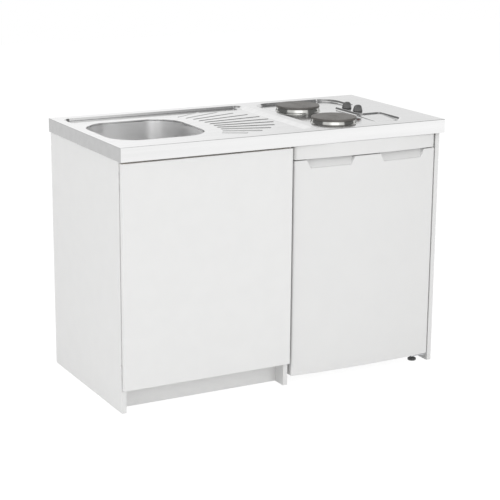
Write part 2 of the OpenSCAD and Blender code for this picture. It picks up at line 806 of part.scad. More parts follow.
// Cross bars under the sheet, held by the plates' bolts and nuts
module hotplate_clamps() {
    reach = clear_r - 3;
    color("gray") for (p = plates) translate([p[0], p[1], floor_z]) {
        difference() {
            union() {
                block(-9, 9, -reach, reach, -19, -17);
                for (s = [-1, 1]) block(-9, 9, s*(reach - 1) - 1, s*(reach - 1) + 1, -19, -sheet_t);
            }
            translate([0, 0, -20]) cylinder(r = 4 + run_gap, h = 4);
        }
        translate([0, 0, -23]) difference() {
            cylinder(r = 7, h = 4, $fn = 6);
            translate([0, 0, -eps]) cylinder(r = 4 + run_gap, h = 5);
        }
    }
}

// Sheet tray under the hob with a flange all round for its screws
module hob_undertray() {
    tx0 = hob_x0 + 6;
    tx1 = hob_x1 + 6;
    ty0 = pan_y0 + 6;
    color("lightgray") {
        open_box(tx0, tx1, ty0, tray_y1, tray_z, core_bot, 1);
        difference() {
            block(tx0 - tray_flange, tx1 + tray_flange, ty0 - tray_flange, tray_y1 + tray_flange,
                  core_bot - 1, core_bot);
            block(tx0 + 0.5, tx1 - 0.5, ty0 + 0.5, tray_y1 - 0.5, core_bot - 2, core_bot + eps);
            for (x = [tx0 - tray_flange/2, tx1 + tray_flange/2], y = [ty0 + 30, tray_y1 - 30])
                translate([x, y, core_bot - 2]) cylinder(d = 4, h = 3);
        }
    }
}

// Rotary switches under the console, each with a threaded bush up through the sheet
module knob_switches() {
    color("whitesmoke") for (y = knob_ys) translate([knob_x, y, 0]) difference() {
        union() {
            block(-19, 19, -19, 19, rim_z - 33, rim_z - 10);
            translate([0, 0, rim_z - 10]) cylinder(r = 9, h = 10 - sheet_t);
            translate([0, 0, rim_z - sheet_t]) cylinder(r = bush_r, h = sheet_t + 1.5);
        }
        translate([0, 0, rim_z - 24]) cylinder(r = shaft_r + run_gap, h = 30);
    }
}

// Knob with a skirt, a tapered body, a grip bar with a pointer end and its shaft
module hob_knob(y) {
    r = knob_d/2;
    color([0.18, 0.18, 0.19]) translate([knob_x, y, rim_z + knob_gap]) {
        difference() {
            union() {
                cylinder(r = r, h = 3);
                translate([0, 0, 3]) cylinder(r1 = r - 1, r2 = r - 3, h = knob_h - 11);
                intersection() {
                    translate([0, 0, 3]) cylinder(r1 = r, r2 = r - 3, h = knob_h - 5);
                    block(-r, r, -4.5, 4.5, 0, knob_h - 2);
                }
            }
            for (s = [-1, 1]) translate([-r, s*14 - 6, knob_h - 9]) cube([2*r, 12, 12]);
            translate([0, 0, -eps]) cylinder(r = bush_r + 1, h = 2.5 + eps);
        }
        translate([0, 0, -20]) cylinder(r = shaft_r, h = 23);
    }
}

module rear_knob() {
    hob_knob(knob_ys[0]);
}

module front_knob() {
    hob_knob(knob_ys[1]);
}

module pilot_lamp() {
    color([0.45, 0.1, 0.08]) translate([pilot_x, pilot_y, floor_z]) {
        cylinder(d = pilot_d, h = 1);
        translate([0, 0, 1]) cylinder(d1 = pilot_d, d2 = pilot_d - 5, h = 2);
        translate([0, 0, -sheet_t]) cylinder(d = pilot_d - 2, h = sheet_t);
        translate([0, 0, -20]) cylinder(d = pilot_d + 2, h = 20 - sheet_t);
    }
}

// ---- fridge ----

// The room inside the insulated walls, drawn in by g, with the step over the compressor
module cavity(g) {
    block(cav_x0 + g, cav_x1 - g, cab_y0 - eps, cav_y1 - g, hump_z + g, cav_z1 - g);
    block(cav_x0 + g, cav_x1 - g, cab_y0 - eps, hump_y - g, cav_z0 + g, hump_z + g + 1);
}

// Steel cabinet with its foamed walls and the compressor's niche
module fridge_cabinet() {
    color("white") difference() {
        block(fr_x0, fr_x1, cab_y0, cab_y1, cab_z0, cab_z1);
        cavity(0);
        block(fr_x0 + 3, fr_x1 - 3, niche_y, cab_y1 + eps, cab_z0 - eps, cab_z0 + niche_h);
    }
}

// Pressed plastic liner with the ledges that carry the shelves
module fridge_liner() {
    color("whitesmoke") {
        difference() {
            cavity(0);
            cavity(liner_t);
            block(fr_x0, fr_x1, cab_y0 - 2*eps, cab_y0, cab_z0, cab_z1);
        }
        for (z = [lid_z, shelf2_z], s = [0, 1])
            block(s ? in_x1 - ledge_w : in_x0 - 1, s ? in_x1 + 1 : in_x0 + ledge_w,
                  shelf_y0, z == lid_z ? hump_y - liner_t : in_y1, z - 4, z);
    }
}

// The door's bowed face at a place x across it
function bow_y(x) = fdoor_y0 - bow*(1 - pow((x - fr_x)/(fridge_w/2), 2));

// Outline of the fridge's front seen from above, grown by g: square at the back and
// bowed in front, with round upright edges
function front_outline(g, back) =
    let (x0 = fr_x0 - g, x1 = fr_x1 + g, r = fdoor_r, n = 6, m = 14,
         edge_y = bow_y(fr_x0 + r) - g + r)
    concat(
        [[x1, back], [x0, back]],
        [for (i = [0 : n]) let (a = 180 + 90*i/n) [x0 + r + r*cos(a), edge_y + r*sin(a)]],
        [for (i = [1 : m - 1]) let (x = x0 + r + (x1 - x0 - 2*r)*i/m) [x, bow_y(x) - g]],
        [for (i = [0 : n]) let (a = 270 + 90*i/n) [x1 - r + r*cos(a), edge_y + r*sin(a)]]);

// Top front of the fridge: a hollow moulding, open below and behind
module fridge_fascia() {
    color("white") difference() {
        translate([0, 0, fascia_z0]) linear_extrude(fascia_h) polygon(front_outline(0, cab_y0));
        translate([0, 0, fascia_z0 - eps]) linear_extrude(fascia_h + eps - 3)
            polygon(front_outline(-3, cab_y0 + eps));
    }
}

// Aluminium freezer box hung under the liner's roof, with ears for the flap's pins
module freezer_box() {
    color("lightgray") {
        difference() {
            block(fz_x0, fz_x1, fz_y0, fz_y1, fz_z0, fz_z1);
            block(fz_x0 + 1.5, fz_x1 - 1.5, fz_y0 - eps, fz_y1 - 1.5, fz_z0 + 1.5, fz_z1 - 1.5);
        }
        for (x = [fz_x0 + 30, fz_x1 - 30], y = [fz_y0 + 40, fz_y1 - 40])
            translate([x, y, fz_z1]) cylinder(d = 10, h = in_z1 - fz_z1);
        for (x = [fz_x0, fz_x1 - 2]) difference() {
            block(x, x + 2, flap_y - 5, fz_y0 + 1, flap_z - 6, fz_z1);
            translate([x - eps, flap_y, flap_z]) rotate([0, 90, 0]) cylinder(r = 2.5 + run_gap, h = 3);
        }
    }
}

// Flap of the freezer box on two pins, with a moulded pull at its foot
module freezer_flap() {
    x0 = fz_x0 + 3;
    x1 = fz_x1 - 3;
    color("aliceblue") {
        block(x0, x1, flap_y - 2, flap_y + 2, fz_z0 + 3, flap_z + 3);
        translate([fz_x0, flap_y, flap_z]) rotate([0, 90, 0]) cylinder(r = 2.5, h = fz_x1 - fz_x0);
        block(fr_x - flap_pull_w/2, fr_x + flap_pull_w/2, flap_y - 10, flap_y - 2, fz_z0 + 6, fz_z0 + 9);
    }
}

// A glass plate on the liner's ledges, with a moulded front edge
module glass_plate(z) {
    color("lightcyan") {
        block(in_x0 + 1, in_x1 - 1, shelf_y0 + 10, in_y1 - 3, z, z + glass_t);
        block(in_x0 + 1, in_x1 - 1, shelf_y0, shelf_y0 + 10, z, z + 9);
    }
}

module fridge_shelf() {
    glass_plate(shelf2_z);
}

module crisper_lid() {
    glass_plate(lid_z);
}

// Bin on the fridge's floor, with a grip rail along its front
module crisper_bin() {
    y0 = shelf_y0 + bin_gap;
    z1 = lid_z - bin_drop;
    color("aliceblue") {
        open_box(in_x0 + bin_gap, in_x1 - bin_gap, y0, hump_y - liner_t - 4, in_z0, z1, 2);
        block(in_x0 + bin_gap, in_x1 - bin_gap, y0 - 8, y0 + 1, z1 - 4, z1);
    }
}

module thermostat_housing() {
    color("whitesmoke") difference() {
        block(thermo_x, in_x1, thermo_y - 55, thermo_y + 55, thermo_z - 26, thermo_z + 26);
        translate([thermo_x - eps, thermo_y - 20, thermo_z]) rotate([0, 90, 0])
            cylinder(r = shaft_r + run_gap, h = 14);
        for (i = [0 : 4]) block(thermo_x - eps, thermo_x + 4, thermo_y + 10 + 8*i, thermo_y + 14 + 8*i,
            thermo_z - 14, thermo_z + 14);
    }
}

// Thermostat knob, turned about X, with a raised bar
module thermostat_knob() {
    color("lightgray") translate([thermo_x - seat_gap, thermo_y - 20, thermo_z]) rotate([0, -90, 0]) {
        cylinder(r = 15, h = 7);
        translate([0, 0, 7]) block(-13, 13, -2.5, 2.5, 0, 4);
        translate([0, 0, -12]) cylinder(r = shaft_r, h = 13);
    }
}

comp_r = 66;
comp_h = 62;
comp_foot = 12;
comp_x = fr_x0 + comp_r + 84;
comp_y = niche_y + comp_r + 18;
comp_z = cab_z0 + comp_foot + 6;
tray_t = 3;
tray_bot = comp_z - comp_foot - tray_t;

// Hermetic compressor: a drawn pot with a domed lid, a welded seam and rubber feet
module compressor() {
    color([0.12, 0.12, 0.13]) translate([comp_x, comp_y, comp_z]) {
        difference() {
            cylinder(r = comp_r, h = comp_h);
            difference() {
                translate([0, 0, -eps]) cylinder(r = comp_r + 4, h = 14);
                translate([0, 0, -2*eps]) cylinder(r1 = comp_r - 12, r2 = comp_r + 2, h = 16);
            }
        }
        translate([0, 0, comp_h - 2]) cylinder(r = comp_r + 3, h = 4);
        translate([0, 0, comp_h + 2]) intersection() {
            translate([0, 0, -50]) sphere(r = comp_r + 20);
            cylinder(r = comp_r, h = comp_r);
        }
        for (x = [-1, 1], y = [-1, 1]) translate([x*(comp_r - 14), y*(comp_r - 22), -comp_foot]) {
            cylinder(r = 9, h = comp_foot + 2);
            translate([-x*20 - 12, -9, comp_foot]) cube([24, 18, 3]);
        }
    }
}

module compressor_tray() {
    color("silver") block(fr_x0 + 3, fr_x1 - 3, niche_y + 6, cab_y1 - 4, tray_bot, tray_bot + tray_t);
}

cond_lift = 50;
cond_z0 = cab_z0 + niche_h + cond_lift;
cond_pitch = 42;
cond_runs = 12;
cond_y = cab_y1 + 10;

// Condenser: one tube in runs joined by bends, crossed by wires, on four standoffs
module condenser() {
    x0 = fr_x0 + 60;
    x1 = fr_x1 - 60;
    color([0.15, 0.15, 0.16]) {
        for (i = [0 : cond_runs - 1])
            translate([x0, cond_y, cond_z0 + i*cond_pitch]) rotate([0, 90, 0]) cylinder(r = 2.5, h = x1 - x0);
        for (i = [0 : cond_runs - 2])
            translate([i % 2 ? x0 : x1, cond_y, cond_z0 + (i + 0.5)*cond_pitch]) rotate([90, 0, 0])
                intersection() {
                    rotate_extrude() translate([cond_pitch/2, 0]) circle(r = 2.5, $fn = 24);
                    block(i % 2 ? -cond_pitch : 0, i % 2 ? 0 : cond_pitch, -cond_pitch, cond_pitch, -5, 5);
                }
        for (x = [x0 + 20 : 60 : x1 - 10])
            translate([x, cond_y + 3, cond_z0 - 10]) cylinder(r = 1.2, h = cond_pitch*(cond_runs - 1) + 20);
        for (x = [x0 + 20, x1 - 30], i = [1, cond_runs - 2])
            translate([x, cab_y1, cond_z0 + i*cond_pitch]) rotate([-90, 0, 0]) cylinder(r = 4, h = 12);
    }
}

lfoot = [fr_x0 + 40, cab_y0 + 62];
rfoot = [axis_x - 18, axis_y + 22];

// One levelling foot: a ribbed disc on a threaded stem
module levelling_foot(x, y, top) {
    translate([x, y, 0]) {
        cylinder(r = 14, h = 7);
        translate([0, 0, 7]) cylinder(r1 = 14, r2 = 9, h = 3);
        translate([0, 0, 10]) cylinder(r = 5, h = top - 10);
        for (i = [0 : 11]) rotate([0, 0, 30*i]) translate([13.6, 0, 1]) cylinder(r = 1.4, h = 6);
    }
}

module fridge_feet() {
    color([0.15, 0.15, 0.15]) {
        levelling_foot(lfoot[0], lfoot[1], cab_z0);
        levelling_foot(rfoot[0], rfoot[1], cab_z0 - bracket_t);
        for (x = [fr_x0 + 35, fr_x1 - 35]) levelling_foot(x, cab_y1 - 25, tray_bot);
    }
}

// Two cranked brackets that tie the top of the fridge to the board under the worktop
module fridge_brackets() {
    color("silver") for (x = [fr_x0 + 40, fr_x1 - 60]) {
        block(x, x + 30, -14, 10, cab_z1, cab_z1 + bracket_sheet);
        block(x, x + 30, 8, 10, cab_z1, core_bot);
        block(x, x + 30, 8, 32, core_bot - bracket_sheet, core_bot);
    }
}

hinge_plate_x0 = fr_x1 - 60;
hinge_plate_x1 = fr_x1 - 5;

// Plate under the cabinet that carries the door's lower pin and the right foot
module lower_hinge_bracket() {
    color("gray") {
        block(hinge_plate_x0, hinge_plate_x1, axis_y - 12, cab_y0 + 60, cab_z0 - bracket_t, cab_z0);
        translate([axis_x, axis_y, cab_z0]) cylinder(d = fpin_d, h = fdoor_z0 - cab_z0 + 12);
    }
}

// Angle on the cabinet's front, inside the fascia, with the door's upper pin
module upper_hinge_bracket() {
    z = fascia_z0 + 4;
    color("gray") {
        block(hinge_plate_x0, hinge_plate_x1, axis_y - 9, cab_y0, z, z + bracket_t);
        block(hinge_plate_x0, hinge_plate_x1, cab_y0 - bracket_t, cab_y0, z, z + 28);
        translate([axis_x, axis_y, fdoor_z1 - 12]) cylinder(d = fpin_d, h = z - fdoor_z1 + 13);
    }
}

// Seen from the front, one grip's notch with slanted sides; it opens at the door's top
module grip_notch(x, y0, y1) {
    top = fdoor_z1 + 1;
    translate([x, y1, 0]) rotate([90, 0, 0]) linear_extrude(y1 - y0) polygon([
        [-grip_w/2, top], [-grip_w/2 + grip_taper, fdoor_z1 - grip_h],
        [grip_w/2 - grip_taper, fdoor_z1 - grip_h], [grip_w/2, top]]);
}

// Bowed door with its foam, two grips in the top edge and the bores of its bushes
module fridge_door() {
    color("white") difference() {
        translate([0, 0, fdoor_z0]) linear_extrude(fdoor_z1 - fdoor_z0) polygon(front_outline(0, fdoor_y1));
        for (s = [-1, 1]) {
            grip_notch(fr_x + s*grip_offset, fdoor_y0 - bow - 2, fdoor_y0 + grip_depth);
            block(fr_x + s*grip_offset - grip_w/2 + grip_taper + 2, fr_x + s*grip_offset + grip_w/2 - grip_taper - 2,
                  fdoor_y0 + 6, fdoor_y0 + grip_depth, fdoor_z1 - grip_h - 12, fdoor_z1 - grip_h + eps);
        }
        translate([axis_x, axis_y, fdoor_z0 - eps]) cylinder(r = fbush_r, h = 16 + eps);
        translate([axis_x, axis_y, fdoor_z1 - 16]) cylinder(r = fbush_r, h = 16 + eps);
    }
}

module hinge_bushes() {
    color("gray") for (z = [fdoor_z0, fdoor_z1 - 16]) translate([axis_x, axis_y, z]) difference() {
        cylinder(r = fbush_r, h = 16);
        translate([0, 0, z == fdoor_z0 ? -eps : 2]) cylinder(d = fpin_d + 2*run_gap, h = 14 + eps);
    }
}

seal_x0 = fr_x0 + 16;
seal_z0 = fdoor_z0 + 16;
seal_z1 = fdoor_z1 - 17;
seal_w = 12;

// Magnetic gasket: a flat frame between the door and the cabinet's front
module door_gasket() {
    color("lightgray") difference() {
        block(seal_x0, axis_x, fdoor_y1, cab_y0 - seat_gap, seal_z0, seal_z1);
        block(seal_x0 + seal_w, axis_x - seal_w, fdoor_y1 - eps, cab_y0, seal_z0 + seal_w, seal_z1 - seal_w);
    }
}

dyke_x0 = cav_x0 + 5;
dyke_x1 = cav_x1 - 5;
dyke_y = cab_y0 + 10;

// Inner face of the door, with the upright dykes that carry the balconies
module fridge_door_liner() {
    z0 = seal_z0 + seal_w + 2;
    z1 = seal_z1 - seal_w - 2;
    color("whitesmoke") {
        block(seal_x0 + seal_w + 2, axis_x - seal_w - 2, fdoor_y1, fdoor_y1 + 2, z0, z1);
        for (x = [dyke_x0, dyke_x1 - 12])
            block(x, x + 12, fdoor_y1, dyke_y, cav_z0 + 12, z1);
    }
}

low_balcony = 18;
mid_balcony = 218;
top_balcony = 398;
bottle_rail_h = 75;
jar_rail_h = 55;
balcony_zs = [cav_z0 + low_balcony, cav_z0 + mid_balcony, cav_z0 + top_balcony];
balcony_hs = [bottle_rail_h, jar_rail_h, jar_rail_h];

// Three trays hung between the dykes
module door_balconies() {
    x0 = dyke_x0 + 12;
    x1 = dyke_x1 - 12;
    color("aliceblue") for (i = [0 : 2]) difference() {
        union() {
            open_box(x0, x1, fdoor_y1 + 2, cab_y0 + balcony_d - 6, balcony_zs[i], balcony_zs[i] + balcony_hs[i], 2.5);
            block(x0, x1, cab_y0 + balcony_d - 8.5, cab_y0 + balcony_d - 2, balcony_zs[i] + balcony_hs[i] - 6,
                  balcony_zs[i] + balcony_hs[i]);
        }
        if (i > 0) for (x = [x0 + 40 : 60 : x1 - 60])
            translate([x, cab_y0, balcony_zs[i] - eps]) cube([40, 40, 2]);
    }
}

worktop();
drainer_sheet();
worktop_core();
sink_bowl();
waste_flange();
strainer_basket();
waste_nut();
bottle_trap();
trap_cup();
outlet_pipe();
side_panel_left();
side_panel_middle();
side_panel_right();
cabinet_floor();
cabinet_back();
front_rail();
back_rail();
bay_back_rail();
shelf();
shelf_pins();
plinth();
corner_brackets();
bracket_screws();
fixed_hinge_leaves();
hinge_pins();
door_catch();
cabinet_door();
door_hinge_leaves();
strike_plate();
door_buffers();
hotplates();
spill_rings();
hotplate_clamps();
hob_undertray();
knob_switches();
rear_knob();
front_knob();
pilot_lamp();
fridge_cabinet();
fridge_liner();
fridge_fascia();
freezer_box();
freezer_flap();
fridge_shelf();
crisper_bin();
crisper_lid();
thermostat_housing();
thermostat_knob();
compressor();
compressor_tray();
condenser();
fridge_feet();
fridge_brackets();
lower_hinge_bracket();
upper_hinge_bracket();
fridge_door();
fridge_door_liner();
door_gasket();
door_balconies();
hinge_bushes();
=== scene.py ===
from math import pi, radians

import bmesh
import bpy
import numpy as np
from mathutils import Matrix, Vector
from mathutils.geometry import tessellate_polygon


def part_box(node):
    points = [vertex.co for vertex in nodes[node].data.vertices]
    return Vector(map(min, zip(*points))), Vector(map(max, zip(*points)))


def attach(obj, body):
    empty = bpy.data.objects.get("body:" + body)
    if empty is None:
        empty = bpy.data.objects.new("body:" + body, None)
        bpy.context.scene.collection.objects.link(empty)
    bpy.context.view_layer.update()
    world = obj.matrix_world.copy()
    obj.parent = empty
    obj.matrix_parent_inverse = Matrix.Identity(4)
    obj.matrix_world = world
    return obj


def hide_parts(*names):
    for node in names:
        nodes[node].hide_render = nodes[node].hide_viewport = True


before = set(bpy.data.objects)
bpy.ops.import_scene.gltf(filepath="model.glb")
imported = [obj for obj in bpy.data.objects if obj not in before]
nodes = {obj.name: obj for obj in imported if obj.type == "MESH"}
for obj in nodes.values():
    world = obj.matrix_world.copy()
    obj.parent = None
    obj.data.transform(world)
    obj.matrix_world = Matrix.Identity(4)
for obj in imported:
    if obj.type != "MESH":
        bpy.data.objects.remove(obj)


# ---- Studio ----
# A pale floor that runs out into a white surround, large soft lamps in front, to the left and
# above, and a camera that stands to the left of the unit and looks down on the worktop.

scene = bpy.context.scene
scene.view_settings.view_transform = "Standard"


def wire(tree, kind, inputs=None, **settings):
    """Adds a shader node with the given settings. A socket's input is a value or the output
    that feeds it."""
    made = tree.nodes.new("ShaderNode" + kind)
    for name, value in settings.items():
        setattr(made, name, value)
    for socket, value in (inputs or {}).items():
        if isinstance(value, bpy.types.NodeSocket):
            tree.links.new(value, made.inputs[socket])
        else:
            made.inputs[socket].default_value = value
    return made


def ramp(tree, value, low, high, start, end, kind="SMOOTHSTEP"):
    """The output of a step, smooth unless kind says so, from low..high to start..end."""
    limits = {"Value": value, "From Min": low, "From Max": high, "To Min": start, "To Max": end}
    return wire(tree, "MapRange", limits, interpolation_type=kind).outputs[0]


def combined(tree, first, second, operation="MULTIPLY"):
    """The output of an operation on two values, their product unless it is named."""
    return wire(tree, "Math", {0: first, 1: second}, operation=operation).outputs[0]


world = bpy.data.worlds.new("studio")
scene.world = world
world.use_nodes = True
sky = world.node_tree
sky.nodes.clear()
ray = wire(sky, "LightPath").outputs
look = wire(sky, "SeparateXYZ", {0: wire(sky, "TexCoord").outputs["Generated"]}).outputs


def strips(tree, value, stops):
    """The output of a colour ramp through (value, level) stops, between -1 and 1."""
    made = wire(tree, "ValToRGB", {"Fac": ramp(tree, value, -1, 1, 0, 1, "LINEAR")})
    bands = made.color_ramp.elements
    bands.remove(bands[1])
    for at, level in stops:
        one = bands.new((at + 1) / 2)
        one.color = level, level, level, 1
    bands.remove(bands[0])
    return made.outputs[0]


def fade(tree, first, second, share):
    """The output that is first where share is 0 and second where it is 1."""
    kept = combined(tree, first, ramp(tree, share, 0, 1, 1, 0))
    return combined(tree, kept, combined(tree, second, share), "ADD")


# What shines back from polished steel. The limits are parts of the mirrored ray's direction.
# Behind the unit is white paper, with a dark room to the left and a dark ceiling to the right.
dark = 0.18
to_left = ramp(sky, look["X"], -0.15, -0.36, 0, 1)
above = ramp(sky, look["Z"], 0.45, 0.75, 0, 1)
ceiling = combined(sky, above, ramp(sky, look["X"], 0.1, 0.42, 0, 1))
unlit = combined(sky, to_left, ceiling, "MAXIMUM")
paper_wall = strips(sky, look["X"], [(0.4, 1.03), (0.45, 0.96), (0.51, 0.83), (0.58, 0.86)])
behind = combined(sky, paper_wall, ramp(sky, unlit, 0, 1, 1, dark))

# In front stand screens, bright to the left and dark to the right, with a gap high up.
low_screens = strips(sky, look["X"], [
    (-0.8, 1.0), (-0.55, 2.1), (-0.14, 2.1), (0.0, 1.3),
    (0.37, 1.0), (0.40, 0.65), (0.44, 0.3), (0.49, dark)])
high_up = ramp(sky, look["Z"], 0.38, 0.5, 0, 1)
gap = combined(sky, high_up, ramp(sky, look["X"], 0.36, 0.3, 0, 1))
screens = combined(sky, low_screens, ramp(sky, gap, 0, 1, 1, 0.2))
room = fade(sky, behind, screens, ramp(sky, look["Y"], 0.05, -0.1, 0, 1))

# Below is the paper floor, grey to the left and brightest to the right.
left_floor = ramp(sky, look["X"], -0.3, 0.0, 0.62, 1.0)
right_floor = ramp(sky, look["X"], 0.36, 0.6, 1.07, 1.13)
bright_floor = combined(sky, left_floor, right_floor)
mirrored = fade(sky, room, bright_floor, ramp(sky, look["Z"], 0.03, -0.1, 0, 1))

# The camera sees the surround white, straight or through glass. Matte faces get less from it.
ambient = 0.55
straight = combined(sky, ray["Is Camera Ray"], ray["Is Transmission Ray"], "MAXIMUM")
shown = combined(sky, straight, combined(sky, mirrored, ray["Is Glossy Ray"]), "MAXIMUM")
level = combined(sky, shown, combined(sky, ray["Is Diffuse Ray"], ambient), "MAXIMUM")
surround = wire(sky, "Background", {"Color": (1, 1, 1, 1), "Strength": level})
wire(sky, "OutputWorld", {"Surface": surround.outputs[0]})

floor_half = 9
floor_mesh = bpy.data.meshes.new("studio_floor")
floor_corners = [(x * floor_half, y * floor_half, 0) for x, y in ((-1, -1), (1, -1), (1, 1), (-1, 1))]
floor_mesh.from_pydata(floor_corners, [], [(0, 1, 2, 3)])
studio_floor = bpy.data.objects.new("studio_floor", floor_mesh)
scene.collection.objects.link(studio_floor)
studio_floor.visible_glossy = False

# The paper is matte. To the camera it also glows, so that it runs out into white.
paper_glow = 1.12
glow_share = 0.84
paper = bpy.data.materials.new("backdrop_paper")
paper.use_nodes = True
tree = paper.node_tree
tree.nodes.clear()
matte = wire(tree, "BsdfDiffuse", {"Color": (0.93, 0.93, 0.93, 1)})
glow = wire(tree, "Emission", {"Color": (1, 1, 1, 1), "Strength": paper_glow})
white = combined(tree, wire(tree, "LightPath").outputs["Is Camera Ray"], glow_share)
paper_mix = wire(tree, "MixShader", {0: white, 1: matte.outputs[0], 2: glow.outputs[0]})
wire(tree, "OutputMaterial", {"Surface": paper_mix.outputs[0]})
floor_mesh.materials.append(paper)


def softbox(name, place, aim, size, power):
    """A square lamp at place that faces aim and doesn't show in polished steel."""
    lamp = bpy.data.objects.new(name, bpy.data.lights.new(name, "AREA"))
    lamp.data.shape = "SQUARE"
    lamp.data.size = size
    lamp.data.energy = power
    lamp.location = place
    lamp.rotation_euler = (Vector(aim) - Vector(place)).to_track_quat("-Z", "Y").to_euler()
    lamp.visible_glossy = False
    scene.collection.objects.link(lamp)


softbox("front_lamp", (0.4, -4.6, 2.4), (0, 0, 0.5), 2.6, 62)
softbox("left_lamp", (-4.6, -0.8, 2.2), (0, 0, 0.5), 2.6, 58)
softbox("top_lamp", (-0.4, 0.2, 4.2), (0, 0, 0.8), 3.0, 30)

# The camera's place and turn follow from the unit's outline in the photograph.
camera_place = (-2.3978, -4.4505, 1.7263)
yaw, pitch, roll = radians(28.441), radians(14.633), radians(0.474)
camera = bpy.data.objects.new("camera", bpy.data.cameras.new("camera"))
camera.data.sensor_width = 36
camera.data.lens = 108.9
look_down = Matrix.Rotation(pi / 2 - pitch, 4, "X") @ Matrix.Rotation(roll, 4, "Z")
turn = Matrix.Rotation(-yaw, 4, "Z") @ look_down
camera.matrix_world = Matrix.Translation(camera_place) @ turn
scene.collection.objects.link(camera)
scene.camera = camera


# ---- Boards ----
# Uprights, floor, shelf, rails and plinth: chipboard with a white melamine face, and edge
# bands whose arrises are broken by a scraper. The cupboard's back is lacquered hardboard, and
# a raw chipboard core fills the worktop.

mm = 0.001
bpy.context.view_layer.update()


def finish(name, color, roughness, metallic=0.0, grain=(1, 1, 1), scale=400, tone=0.02,
           spread=0.04, bump=0.1, depth=0.05 * mm, coat=0.0):
    """A finish on Object coordinates. A coarse noise shifts its tone, and one that is 50
    times finer its gloss and height; grain stretches both, as strokes of a brush do."""
    made = bpy.data.materials.new(name)
    made.use_nodes = True
    tree = made.node_tree
    shader = tree.nodes["Principled BSDF"]
    shader.inputs["Metallic"].default_value = metallic
    shader.inputs["Coat Weight"].default_value = coat
    place = wire(tree, "TexCoord").outputs["Object"]
    laid = wire(tree, "Mapping", {"Vector": place, "Scale": grain}).outputs[0]
    fine = wire(tree, "TexNoise", {"Vector": laid, "Scale": scale, "Detail": 3.0}).outputs[0]
    broad = wire(tree, "TexNoise", {"Vector": laid, "Scale": scale / 50, "Detail": 2.0}).outputs[0]
    shade = ramp(tree, broad, 0.3, 0.7, 1 - tone, 1 + tone)
    tinted = wire(tree, "VectorMath", {0: color, "Scale": shade}, operation="SCALE")
    tree.links.new(tinted.outputs[0], shader.inputs["Base Color"])
    gloss = ramp(tree, fine, 0.3, 0.7, roughness - spread, roughness + spread)
    tree.links.new(gloss, shader.inputs["Roughness"])
    relief = wire(tree, "Bump", {"Strength": bump, "Distance": depth, "Height": fine})
    tree.links.new(relief.outputs[0], shader.inputs["Normal"])
    return made


crease = radians(35)


def crisp(piece):
    """Shades bends of less than the crease angle smooth and keeps flat faces flat."""
    piece.modifiers.new("crease", "EDGE_SPLIT").split_angle = crease
    piece.modifiers.new("shading", "WEIGHTED_NORMAL")


def dress(material, *names, edge=0.0):
    """Puts a finish on CAD nodes, whose loose triangles are welded first. Where edge is set,
    every edge sharper than the crease angle is rounded to that width."""
    for name in names:
        piece = nodes[name]
        piece.data.materials.clear()
        piece.data.materials.append(material)
        smooth = np.ones(len(piece.data.polygons), bool)
        piece.data.polygons.foreach_set("use_smooth", smooth)
        piece.modifiers.new("weld", "WELD").merge_threshold = 0.01 * mm
        if edge:
            bevel = piece.modifiers.new("edge", "BEVEL")
            bevel.width = edge
            bevel.segments = 2
            bevel.limit_method = "ANGLE"
            bevel.angle_limit = crease
        crisp(piece)


melamine = finish("white_melamine", (0.83, 0.83, 0.825), 0.42, scale=900, tone=0.006, bump=0.12)
dress(melamine, "side_panel_left", "side_panel_middle", "side_panel_right", edge=0.6 * mm)
dress(melamine, "cabinet_floor", "shelf", "plinth", "front_rail", "back_rail", "bay_back_rail",
      edge=0.4 * mm)
hardboard = finish("lacquered_hardboard", (0.76, 0.75, 0.71), 0.5, scale=500, tone=0.03, bump=0.3)
dress(hardboard, "cabinet_back")
chipboard = finish("raw_chipboard", (0.62, 0.5, 0.34), 0.85, scale=260, tone=0.25, spread=0.1,
                   bump=0.8, depth=0.4 * mm)
dress(chipboard, "worktop_core")


# ---- Cupboard fittings ----
# Zinc plated angle brackets, screws and shelf pins, pressed or turned from steel, hinges
# painted white, and the moulded catch with its strike plate.

zinc = finish("zinc_plate", (0.60, 0.61, 0.63), 0.38, 1.0, scale=700, tone=0.12, spread=0.08, bump=0.15)
dress(zinc, "corner_brackets", "bracket_screws", "shelf_pins", "strike_plate", "fridge_brackets")
painted = finish("painted_hinge", (0.82, 0.82, 0.815), 0.35, scale=700, tone=0.01, bump=0.1)
dress(painted, "fixed_hinge_leaves", "door_hinge_leaves", "hinge_pins")
white_moulding = finish("white_moulding", (0.80, 0.80, 0.79), 0.45, scale=800, tone=0.01,
                        bump=0.1)
dress(white_moulding, "door_catch")
soft_grey = finish("soft_grey_rubber", (0.52, 0.52, 0.52), 0.7, scale=600, tone=0.03, bump=0.25)
dress(soft_grey, "door_buffers")


# ---- Worktop ----
# One stainless sheet, pressed with a sink recess, a drainer whose ribs fan out from the bowl
# and a hob recess round the raised console. Its edges are folded down into a lip.

def unit_rows(rows):
    """Each row divided by its length."""
    return rows / np.linalg.norm(rows, axis=1, keepdims=True)


def rounded(corners, radii, steps=10):
    """Points and outward normals of a closed anticlockwise outline with rounded corners. A
    corner's arc has its centre on the bisector, radius / sin(half angle) from the corner,
    and turns through a half circle less the corner's angle."""
    at = np.array(corners, float)
    radius = np.broadcast_to(np.array(radii, float), len(at))[:, None]
    to_last = unit_rows(np.roll(at, 1, 0) - at)
    to_next = unit_rows(np.roll(at, -1, 0) - at)
    half = np.arccos(np.clip((to_last * to_next).sum(1), -1, 1))[:, None] / 2
    side = np.sign(to_last[:, 1] * to_next[:, 0] - to_last[:, 0] * to_next[:, 1])[:, None]
    centre = at + unit_rows(to_last + to_next) * radius / np.sin(half)
    first = np.arctan2(to_last[:, :1], -to_last[:, 1:])
    angle = first + side * (pi - 2 * half) * np.linspace(0, 1, steps + 1)[None]
    normal = np.stack([np.cos(angle), np.sin(angle)], 2)
    points = centre[:, None] + (side * radius)[:, :, None] * normal
    return points.reshape(-1, 2), normal.reshape(-1, 2)


